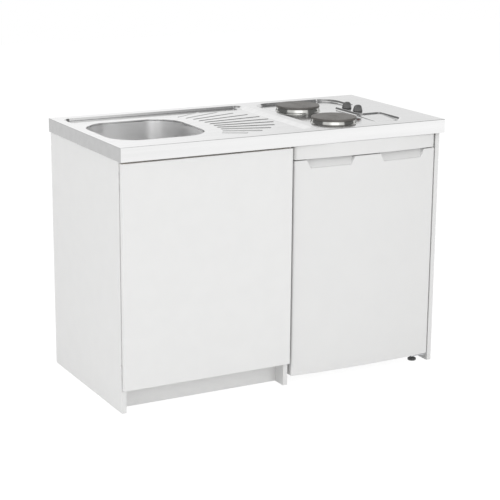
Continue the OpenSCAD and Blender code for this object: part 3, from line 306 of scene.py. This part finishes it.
def fold(corners, radii, steps=6):
    """A bent profile of (offset, height) points: straight runs, with an arc of its radius at
    each corner between the two ends."""
    return rounded(corners, [0, *radii, 0], steps)[0]


def circle(x, y, radius, steps=72):
    """Points and outward normals of a circle: the centre plus the radius times the cosine and
    sine of evenly stepped angles."""
    angle = np.arange(steps) * 2 * pi / steps
    normal = np.stack([np.cos(angle), np.sin(angle)], 1)
    return np.array([x, y]) + radius * normal, normal


def band(outline, profile, ease=0.0):
    """A pressed edge as a grid: each profile point moves the outline out by its offset and
    up to its height. A profile that runs from outside inwards gives an upward face. Ease is
    how many times wider the profile is at each point of the outline, less one."""
    points, normals = outline
    flat = points[None] + profile[:, :1, None] * (normals * (1 + ease))[None]
    height = np.broadcast_to(profile[:, 1:, None], (*flat.shape[:2], 1))
    return np.concatenate([flat, height], 2)


def quads(rows, columns, closed=True):
    """Faces of a grid of points, row by row: point (row, column) is row * columns + column,
    and closed joins the last column to the first."""
    across = columns if closed else columns - 1
    row, column = np.meshgrid(np.arange(rows - 1), np.arange(across), indexing="ij")
    here, below = row * columns, (row + 1) * columns
    after = (column + 1) % columns
    faces = np.stack([here + column, here + after, below + after, below + column], 2)
    return faces.reshape(-1, 4)


def level_face(edge, holes):
    """Triangles of the flat face inside the ring of points edge and outside the holes. One
    whose normal, the cross product of two sides, looks down is turned over."""
    rings = [edge, *holes]
    points = np.concatenate(rings)
    triangles = np.array(tessellate_polygon([[Vector(p) for p in ring] for ring in rings]))
    a, b, c = (points[triangles[:, i]] for i in range(3))
    upside = np.cross(b - a, c - a)[:, 2] < 0
    triangles[upside] = triangles[upside][:, ::-1]
    return points, triangles


def build(name, surfaces, material, body, gauge=0.0, merge=0.002 * mm):
    """One mesh from grids of points and (points, faces) pairs, welded where they meet. Where
    gauge is set, the surface gets that thickness inwards."""
    points, faces, count = [], [], 0
    for surface in surfaces:
        if isinstance(surface, tuple):
            at, ring = surface
        else:
            at, ring = surface.reshape(-1, 3), quads(*surface.shape[:2])
        points.append(at)
        faces += (ring + count).tolist()
        count += len(at)
    mesh = bpy.data.meshes.new(name)
    mesh.from_pydata(np.concatenate(points).tolist(), [], faces)
    work = bmesh.new()
    work.from_mesh(mesh)
    bmesh.ops.remove_doubles(work, verts=work.verts, dist=merge)
    bmesh.ops.dissolve_degenerate(work, edges=work.edges, dist=merge)
    work.to_mesh(mesh)
    work.free()
    mesh.polygons.foreach_set("use_smooth", np.ones(len(mesh.polygons), bool))
    mesh.materials.append(material)
    made = bpy.data.objects.new(name, mesh)
    scene.collection.objects.link(made)
    if gauge:
        wall = made.modifiers.new("gauge", "SOLIDIFY")
        wall.thickness = gauge
        wall.offset = -1
    crisp(made)
    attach(made, body)
    return made


def oblong(x0, x1, y0, y1):
    """The corners of a rectangle, anticlockwise from its front left."""
    return [(x0, y0), (x1, y0), (x1, y1), (x0, y1)]


def middle(name):
    """The middle of a CAD node's box: half the sum of its lowest and highest corners."""
    low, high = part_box(name)
    return (low + high) / 2


steel = finish("satin_steel", (0.81, 0.81, 0.81), 0.13, 1.0, grain=(1, 30, 30), scale=60,
               tone=0.02, spread=0.04, bump=0.05)
(left, front, lip), (right, back, rim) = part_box("worktop")
sheet = 1.2 * mm
recess = 8 * mm
pan = rim - recess
border_left, sink_far = 34 * mm, 704 * mm
ridge, hob_far = 50 * mm, 376 * mm
border_near, border_far = 50 * mm, 42 * mm
sink_x = left + border_left, left + sink_far
hob_x = sink_x[1] + ridge, sink_x[1] + hob_far
pan_y = front + border_near, back - border_far
bowl_flange = 9 * mm
bowl_low, bowl_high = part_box("sink_bowl")
bowl_x = bowl_low.x + bowl_flange, bowl_high.x - bowl_flange
bowl_y = bowl_low.y + bowl_flange, bowl_high.y - bowl_flange
bowl_centre = np.array([sum(bowl_x) / 2, sum(bowl_y) / 2])
console_depth = 83 * mm
console_x = hob_x[1] - console_depth
console_y = -78 * mm, 94 * mm
knobs = {name: middle(name) for name in ("rear_knob", "front_knob")}
lamp = middle("pilot_lamp")
rings_low, rings_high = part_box("spill_rings")
ring_r = 79 * mm
plates = [(rings_high.x - ring_r, rings_high.y - ring_r), (rings_low.x + ring_r, rings_low.y + ring_r)]

# The lip turns in by less than the corners' radius, so that its inner ring doesn't cross itself.
corner_r, lip_turn = 3 * mm, 2.8 * mm
edge = rounded(oblong(left, right, front, back), corner_r)
lip_profile = fold([(-lip_turn, lip), (0, lip), (0, rim), (-lip_turn, rim)], [0.8 * mm, 1.2 * mm])
lip_fold = band(edge, lip_profile)

# A recess's wall leans. The sides of the ridge between the recesses are four times as wide.
wall = fold([(4 * mm, rim), (1.5 * mm, rim), (-1.5 * mm, pan), (-5 * mm, pan)], [1.2 * mm, 3 * mm])
ridge_ease = 3
sink_r = 25 * mm
sink_outline = rounded(oblong(*sink_x, *pan_y), sink_r)
at_sink_side = np.clip(sink_outline[1][:, :1], 0, 1) ** 2
sink_recess = band(sink_outline, wall, ridge_ease * at_sink_side)

# The hob's recess goes round the console, which stays at the height of the rim.
hob_r, console_r, step_r = 62 * mm, 15 * mm, 8 * mm
hob_outline = rounded([
    (hob_x[0], pan_y[0]), (hob_x[1], pan_y[0]), (hob_x[1], console_y[0]), (console_x, console_y[0]),
    (console_x, console_y[1]), (hob_x[1], console_y[1]), (hob_x[1], pan_y[1]), (hob_x[0], pan_y[1])],
    [hob_r, hob_r, step_r, console_r, console_r, step_r, hob_r, hob_r])
left_side = hob_outline[0][:, :1] < hob_x[0] + hob_r
at_hob_side = left_side * np.clip(-hob_outline[1][:, :1], 0, 1) ** 2
hob_recess = band(hob_outline, wall, ridge_ease * at_hob_side)

bowl_r, bowl_roll = 100 * mm, 6 * mm
bowl_outline = rounded(oblong(*bowl_x, *bowl_y), bowl_r, 20)
bowl_edge = band(bowl_outline, fold([(8 * mm, pan), (0, pan), (0, pan - bowl_roll)], [1.5 * mm]))

# The apron is a low step in front of the console. Its height falls smoothly to nothing over
# its front part, and all of it lies just clear of the pan.
apron_x = console_x - 13 * mm, hob_x[1] + 6 * mm
apron_y = -200 * mm, console_y[0] + 8 * mm
apron_r, apron_height, apron_slope, apron_clear = 9 * mm, 4 * mm, 45 * mm, 0.1 * mm
apron_top = pan + apron_height
apron_profile = fold([(2 * mm, pan), (0.6 * mm, pan), (-0.6 * mm, apron_top), (-4 * mm, apron_top)],
                     [0.6 * mm, 0.6 * mm])
apron = band(rounded(oblong(*apron_x, *apron_y), apron_r), apron_profile)
slope = np.clip((apron[..., 1] - apron_y[0]) / apron_slope, 0, 1)
slope = slope * slope * (3 - 2 * slope)
apron[..., 2] = pan + apron_clear + (apron[..., 2] - pan) * slope


def eyelet(x, y, radius, height):
    """The small rolled edge of a round hole in the sheet: a quarter turn down into it."""
    profile = fold([(3 * mm, height), (0, height), (0, height - 2 * mm)], [0.8 * mm])
    return band(circle(x, y, radius), profile)


shaft_hole_r, plate_hole_r, lamp_hole_r = 5.05 * mm, 66 * mm, 4.1 * mm
knob_holes = [eyelet(knob.x, knob.y, shaft_hole_r, rim) for knob in knobs.values()]
plate_holes = [eyelet(x, y, plate_hole_r, pan) for x, y in plates]
lamp_hole = eyelet(lamp.x, lamp.y, lamp_hole_r, pan)

# The ribs lie on rays from a centre to the left of the bowl's, at even angles in degrees, and
# end on an arc, whose centre is given from theirs.
rib_count, rib_step = 11, 5.6
rib_half, rib_height, rib_foot = 4 * mm, 1.8 * mm, 1 * mm
rib_angles = np.radians((np.arange(rib_count) - rib_count // 2) * rib_step)
fan_centre = bowl_centre - np.array([112 * mm, 0])
rib_arc = np.array([sink_x[1] - 242 * mm, bowl_centre[1] + 13 * mm]) - fan_centre
rib_arc_r = 218 * mm

# They begin on the bowl's outline grown by their distance from it, which is worked out as
# distances from the fan's centre over the angles there.
start = 60 * mm
ring = rounded(oblong(bowl_x[0] - start, bowl_x[1] + start, bowl_y[0] - start, bowl_y[1] + start),
               bowl_r + start, 20)[0]
ring = ring[ring[:, 0] > bowl_centre[0]] - fan_centre
ring = ring[np.argsort(np.arctan2(ring[:, 1], ring[:, 0]))]
ring_angles = np.arctan2(ring[:, 1], ring[:, 0])
rib_near = np.interp(rib_angles, ring_angles, np.hypot(ring[:, 0], ring[:, 1]))
step = np.linspace(0, 1, 9)[:, None]
rib_rise = rib_height * (1 - np.cos(pi * step)) / 2
rib_profile = np.hstack([rib_foot - step * (rib_half + rib_foot), pan + rib_rise])


def rib(angle, near):
    """One rib: a stadium along the ray at angle from the fan's centre, raised on a cosine
    step. It ends where the ray meets the arc, which a quadratic gives."""
    along = rib_arc @ (np.cos(angle), np.sin(angle))
    far = along + np.sqrt(rib_arc_r**2 - rib_arc @ rib_arc + along**2)
    stadium = oblong(near - rib_half, far + rib_half, -rib_half, rib_half)
    points, normals = rounded(stadium, rib_half, 6)
    spin = np.array([[np.cos(angle), np.sin(angle)], [-np.sin(angle), np.cos(angle)]])
    return band((points @ spin + fan_centre, normals @ spin), rib_profile)


ribs = [rib(angle, near) for angle, near in zip(rib_angles, rib_near)]
rim_face = level_face(lip_fold[-1], [sink_recess[0], hob_recess[0], *(hole[0] for hole in knob_holes)])
sink_face = level_face(sink_recess[-1], [bowl_edge[0], *(one[0] for one in ribs)])
hob_face = level_face(hob_recess[-1], [lamp_hole[0], *(hole[0] for hole in plate_holes)])
apron_face = level_face(apron[-1], [])
worktop = build("worktop_sheet", [
    lip_fold, sink_recess, hob_recess, bowl_edge, apron, *knob_holes, *plate_holes, lamp_hole, *ribs,
    rim_face, sink_face, hob_face, apron_face], steel, "unit", sheet)
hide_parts("worktop", "drainer_sheet")


# ---- Sink bowl ----
# A deep drawn bowl with large corner radii, welded under the drainer and polished, so that
# its wall runs on from the rolled edge of the opening.

# Its steel is paler than the sheet's: painted light that lifts the shade its inner bounces leave.
bowl_steel_painted_light = finish("bowl_steel_painted_light", (0.97, 0.97, 0.97), 0.3, 1.0, grain=(1, 1, 12), scale=240,
                    tone=0.01, spread=0.02, bump=0.02)
bowl_sheet = 1 * mm
wall_lean, base_ring, base_r = 6 * mm, 46 * mm, 28 * mm
waste_hole_r = 41 * mm
base = bowl_low.z + bowl_sheet
wall_profile = fold([(0, pan - bowl_roll), (-wall_lean, base), (-base_ring, base)], [base_r], 14)
bowl_wall = band(bowl_outline, wall_profile)

# From the wall's last ring, the base runs straight to the round hole for the waste.
last = bowl_wall[-1]
spoke = unit_rows(last[:, :2] - bowl_centre)
hub = np.hstack([bowl_centre + waste_hole_r * spoke, np.full((len(spoke), 1), base)])
share = np.linspace(0, 1, 8)[:, None, None]
bowl_base = last[None] * (1 - share) + hub[None] * share
bowl = build("sink_bowl_pressing", [bowl_wall, bowl_base], bowl_steel_painted_light, "unit", bowl_sheet)
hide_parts("sink_bowl")


# ---- Waste ----
# Polished flange and basket in the bowl, and below it the moulded nut, bottle trap with its
# screwed cup, and the pipe to the wall.

polished = finish("polished_steel", (0.82, 0.82, 0.83), 0.12, 1.0, scale=300, tone=0.01,
                  spread=0.03, bump=0.02)
dress(polished, "waste_flange", "strainer_basket")
dark_moulding = finish("dark_moulding", (0.05, 0.05, 0.055), 0.5, scale=700, tone=0.05, bump=0.15)
dress(dark_moulding, "waste_nut")
dress(white_moulding, "bottle_trap", "trap_cup", "outlet_pipe")


# ---- Plates ----
# Cast iron plates, faced on a lathe, on bright spill rings that are rolled from thin
# stainless strip. Clamping bars below pull each plate down on its ring.

def turned(profile, x, y, steps=96):
    """A grid from a (radius, height) profile carried round an upright axis: the axis plus the
    radius times the cosine and sine of evenly stepped angles."""
    angle = np.arange(steps) * 2 * pi / steps
    around = np.stack([np.cos(angle), np.sin(angle)], 1)
    flat = profile[:, :1, None] * around[None] + np.array([x, y])
    height = np.broadcast_to(profile[:, 1:, None], (*flat.shape[:2], 1))
    return np.concatenate([flat, height], 2)


def disc_finish(name, color, roughness, metallic, pitch, bump):
    """A turned finish: rings about each plate's own axis, over a fine grain of casting. The
    rings' height is a sine of the distance from the nearer axis."""
    made = finish(name, color, roughness, metallic, scale=900, tone=0.08, spread=0.06,
                  bump=0.35, depth=0.1 * mm)
    tree = made.node_tree
    shader = tree.nodes["Principled BSDF"]
    place = wire(tree, "TexCoord").outputs["Object"]
    flat = wire(tree, "VectorMath", {0: place, 1: (1, 1, 0)}, operation="MULTIPLY").outputs[0]
    axes = [{0: flat, 1: (x, y, 0)} for x, y in plates]
    away = [wire(tree, "VectorMath", pair, operation="DISTANCE").outputs["Value"] for pair in axes]
    nearest = combined(tree, *away, "MINIMUM")
    wave = combined(tree, combined(tree, nearest, 2 * pi / pitch), 0.0, "SINE")
    grain = shader.inputs["Normal"].links[0].from_socket
    relief = {"Strength": bump, "Distance": 0.2 * mm, "Height": wave, "Normal": grain}
    rings = wire(tree, "Bump", relief)
    tree.links.new(rings.outputs[0], shader.inputs["Normal"])
    return made


cast = disc_finish("turned_cast_iron", (0.2, 0.19, 0.18), 0.5, 0.5, 1.4 * mm, 0.5)
plate_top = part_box("hotplates")[1].z
plate_r, plate_t, skirt_r = 76 * mm, 8 * mm, 60 * mm
dish_r, dish_floor_r, dish = 17 * mm, 14 * mm, 1 * mm
plate_foot = plate_top - plate_t
plate_profile = fold([
    (skirt_r, pan - 1 * mm), (skirt_r, plate_foot), (plate_r, plate_foot), (plate_r, plate_top),
    (dish_r, plate_top), (dish_floor_r, plate_top - dish), (0, plate_top - dish)],
    np.array([0.5, 1, 1.5, 0.5, 0.5]) * mm)
cast_plates = build("cast_plates", [turned(plate_profile, x, y) for x, y in plates], cast, "unit")
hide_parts("hotplates")
bright = finish("bright_ring", (0.55, 0.55, 0.53), 0.12, 1.0, scale=200, tone=0.01,
                spread=0.02, bump=0.02)
ring_profile = fold([
    (68 * mm, pan), (ring_r, pan), (ring_r, pan + 2 * mm), (77.2 * mm, pan + 4 * mm),
    (74.6 * mm, plate_foot), (67 * mm, plate_foot)],
    np.array([0.4, 0.8, 1.5, 1.2]) * mm)
bright_rings = build("bright_rings", [turned(ring_profile, x, y) for x, y in plates], bright, "unit")
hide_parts("spill_rings")
dress(zinc, "hotplate_clamps", "hob_undertray")


# ---- Controls ----
# Two knobs moulded in black plastic, each pressed on the shaft of a rotary switch that is
# clamped under the console, and a small lamp with a red lens, pressed into its hole.

knob_black = finish("knob_black", (0.14, 0.14, 0.14), 0.42, scale=900, tone=0.05, bump=0.12)


def knob_surface(place, height, steps=96):
    """A round skirt that tapers and draws in to a grip bar along X. Each ring is (half length,
    half width, exponent, height) of a superellipse, on which the powers of x over the half
    length and of y over the half width add up to one."""
    rings = np.array([
        [4, 4, 2, 0.2], [16.2, 16.2, 2, 0.2], [17, 17, 2, 0.9], [17, 17, 2, 2.4],
        [16.6, 16.6, 2, 3.4], [16.4, 15.6, 2, 5], [16.2, 13.6, 2, 7.5], [16, 10.4, 2.2, 9.6],
        [15.7, 7.6, 2.5, 11.2], [15.2, 6.2, 2.8, 13.5], [14.2, 5.6, 3, 16], [12.6, 5.2, 3, 18.2],
        [10.2, 4.7, 3, 20], [7, 3.8, 2.6, 21.3], [3.4, 2, 2.2, 22], [0.01, 0.01, 2, 22.1]])
    angle = np.arange(steps) * 2 * pi / steps
    long, wide, power, up = (rings[:, i:i + 1] for i in range(4))
    along, across = np.cos(angle), np.sin(angle)
    whole = (np.abs(along) / long) ** power + (np.abs(across) / wide) ** power
    reach = whole ** (-1 / power)
    x = place.x + reach * along * mm
    y = place.y + reach * across * mm
    z = np.broadcast_to(height + up * mm, x.shape)
    return np.stack([x, y, z], 2)


knob_foot = rim + 0.4 * mm
for name, control in (("rear_knob", "rear_control"), ("front_knob", "front_control")):
    cap = build(name + "_cap", [knob_surface(knobs[name], knob_foot)], knob_black, control)
    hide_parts(name)
switch_body = finish("switch_body", (0.72, 0.69, 0.6), 0.5, scale=700, tone=0.03, bump=0.15)
dress(switch_body, "knob_switches")
red_lens = finish("red_lens", (0.07, 0.02, 0.018), 0.2, scale=500, tone=0.05, spread=0.02,
                  bump=0.02, coat=0.6)
dress(red_lens, "pilot_lamp")


# ---- Fridge cabinet ----
# Coated steel over foam, with a vacuum formed liner, an aluminium freezer box, glass shelves
# and clear bins. The fascia is a moulding that follows the bow of the door.

enamel = finish("white_enamel", (0.82, 0.82, 0.815), 0.3, scale=500, tone=0.005, spread=0.03,
                bump=0.08)
dress(enamel, "fridge_cabinet")
# The fascia's white is a little paler than the door's: painted light against the shade under the
# worktop's lip.
fascia_white_painted_light = finish("fascia_white_painted_light", (0.83, 0.83, 0.825), 0.4, scale=700, tone=0.006, bump=0.1)
dress(fascia_white_painted_light, "fridge_fascia", edge=0.6 * mm)
liner_white = finish("liner_white", (0.84, 0.84, 0.84), 0.25, scale=200, tone=0.008,
                     spread=0.05, bump=0.05)
dress(liner_white, "fridge_liner", "thermostat_housing", "fridge_door_liner")
anodised = finish("anodised_aluminium", (0.72, 0.73, 0.74), 0.35, 1.0, scale=600, tone=0.03,
                  bump=0.1)
dress(anodised, "freezer_box")
grey_moulding = finish("grey_moulding", (0.42, 0.43, 0.44), 0.45, scale=700, tone=0.03, bump=0.12)
dress(grey_moulding, "thermostat_knob", "hinge_bushes")


def clear(name, color, roughness):
    """A clear moulding or glass, with a faint waviness in its face."""
    made = finish(name, color, roughness, scale=60, tone=0.02, spread=0.03, bump=0.05)
    shader = made.node_tree.nodes["Principled BSDF"]
    shader.inputs["Transmission Weight"].default_value = 0.9
    shader.inputs["IOR"].default_value = 1.45
    return made


clear_moulding = clear("clear_moulding", (0.86, 0.93, 0.95), 0.12)
dress(clear_moulding, "freezer_flap", "crisper_bin", "door_balconies")
shelf_glass = clear("shelf_glass", (0.85, 0.95, 0.92), 0.05)
dress(shelf_glass, "fridge_shelf", "crisper_lid")
black_enamel = finish("black_enamel", (0.02, 0.02, 0.022), 0.35, scale=500, tone=0.1, bump=0.2)
dress(black_enamel, "compressor", "condenser")
dress(zinc, "compressor_tray", "lower_hinge_bracket", "upper_hinge_bracket")
foot_grey = finish("foot_moulding", (0.1, 0.1, 0.1), 0.5, scale=700, tone=0.05, bump=0.15)
dress(foot_grey, "fridge_feet")
dress(soft_grey, "door_gasket")


# ---- Cupboard door ----
# One board of chipboard with a white melamine face and a band round all its edges. It hangs
# on two hinges at its left edge, whose leaves are screwed to it.

door_white = finish("door_melamine", (0.85, 0.85, 0.845), 0.4, scale=900, tone=0.006, bump=0.12)
dress(door_white, "cabinet_door", edge=1.2 * mm)


# ---- Fridge door ----
# A coated steel skin over foam, bowed across its width. Two grips with slanted sides are
# scooped out of its top edge; above its foot, a grip's face slopes back to the door's top.

door_enamel = finish("door_enamel", (0.82, 0.82, 0.815), 0.34, scale=600, tone=0.005,
                     spread=0.03, bump=0.12)
door_low, door_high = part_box("fridge_door")
door_mid = (door_low.x + door_high.x) / 2
door_half = (door_high.x - door_low.x) / 2
bow = 12 * mm
flank_r = 6 * mm
grip_offset = 140 * mm
grip_half, grip_taper, grip_height = 87 * mm, 13 * mm, 27 * mm


def bowed(x):
    """How far forward the face is at x: a parabola that stands bow proud at the middle."""
    return door_low.y + bow * ((x - door_mid) / door_half) ** 2


# Across the face, u counts knots: its left edge, then for each grip the outside and inside of
# its left wall and the inside and outside of its right wall, and the face's right edge. Between
# knots there are as many steps as counts says. The walls lean outwards on their way up.
grip_foot = grip_half - grip_taper
wall_w = 3 * mm
grip_knots = np.array([-grip_foot - wall_w, -grip_foot, grip_foot, grip_foot + wall_w])
edge_x = door_half - flank_r
knots = [-edge_x, *(grip_knots - grip_offset), *(grip_knots + grip_offset), edge_x]
lean = [0, -1, -1, 1, 1, -1, -1, 1, 1, 0]
in_grip = [0, 0, 1, 1, 0, 0, 1, 1, 0, 0]
counts = [6, 9, 14, 9, 10, 9, 14, 9, 6]
u = np.concatenate([k + np.arange(n) / n for k, n in enumerate(counts)] + [[len(counts)]])
at_knot = np.arange(len(knots))
inside = np.interp(u, at_knot, in_grip)
inside = inside * inside * (3 - 2 * inside)
base_x = np.interp(u, at_knot, knots)
shift = np.interp(u, at_knot, lean)

# Up the door, each row is its depth behind the face in millimetres and its height: the rows
# below the grips, then the rest beside a grip and inside it. Two of the lower rows only divide
# the tall plain face.
top, bottom = door_high.z - 1.2 * mm, door_low.z + 0.2 * mm
ledge = top - grip_height
lower_rows = [(2, bottom), (0.6, bottom + 0.6 * mm), (0, bottom + 2 * mm), (0, bottom + 200 * mm),
              (0, ledge - 100 * mm), (0, ledge - 6 * mm), (0, ledge - 3 * mm)]
beside_rows = [(0, ledge - 1.5 * mm), (0, ledge - 0.5 * mm), (0, ledge), (0, ledge + 1 * mm),
               (0, ledge + 2 * mm), (0, ledge + 3 * mm), (0, ledge + 6 * mm), (0, top - 6 * mm),
               (0, top - 2 * mm), (0.6, top - 0.6 * mm), (2, top)]
inside_rows = [(0.4, ledge - 1 * mm), (1.4, ledge), (2.8, ledge + 0.8 * mm),
               (4.2, ledge + 2 * mm), (5.4, ledge + 4 * mm), (6.6, ledge + 6.5 * mm),
               (9, ledge + 11 * mm), (15, top - 6 * mm), (16, top - 2 * mm),
               (16.6, top - 0.6 * mm), (18, top)]
plain = np.array(lower_rows + beside_rows)
grip = np.array(lower_rows + inside_rows)
depth = (plain[:, :1] * (1 - inside) + grip[:, :1] * inside) * mm
height = plain[:, 1:] * (1 - inside) + grip[:, 1:] * inside
climb = np.clip((height - ledge) / grip_height, 0, 1)
across = door_mid + base_x + shift * grip_taper * climb
face = np.stack([across, bowed(across) + depth, height], 2)

side_turn = np.linspace(0, pi / 2, 9)
edge_y = bowed(door_low.x + flank_r) + flank_r


def rounded_side(sign):
    """The upright edge at one side, from the face to the rear corner: a quarter circle and a
    straight, drawn in a little at the top and bottom rows. The left one runs backwards."""
    radius = flank_r - plain[:, :1] * mm
    turn_x = edge_x + np.sin(side_turn) * radius
    turn_y = edge_y - np.cos(side_turn) * radius
    rear = np.full((len(plain), 1), door_high.y)
    x = np.hstack([turn_x, turn_x[:, -1:]])
    y = np.hstack([turn_y, rear])
    z = np.broadcast_to(plain[:, 1:], x.shape)
    grid = np.stack([door_mid + sign * x, y, z], 2)
    return grid if sign > 0 else grid[:, ::-1]


# The back closes the skin: its last row goes to the rear, down to the bottom, and meets the
# first row there.
skin = np.concatenate([rounded_side(-1)[:, :-1], face, rounded_side(1)[:, 1:]], 1)
rear_row = skin[-1:].copy()
rear_row[:, :, 1] = door_high.y
rear_foot = rear_row.copy()
rear_foot[:, :, 2] = bottom
skin = np.concatenate([rear_foot, skin, rear_row, rear_foot], 0)
skin_faces = quads(*skin.shape[:2], closed=False)
leaf = build("fridge_door_skin", [(skin.reshape(-1, 3), skin_faces)], door_enamel,
             "fridge_door_leaf")
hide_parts("fridge_door")
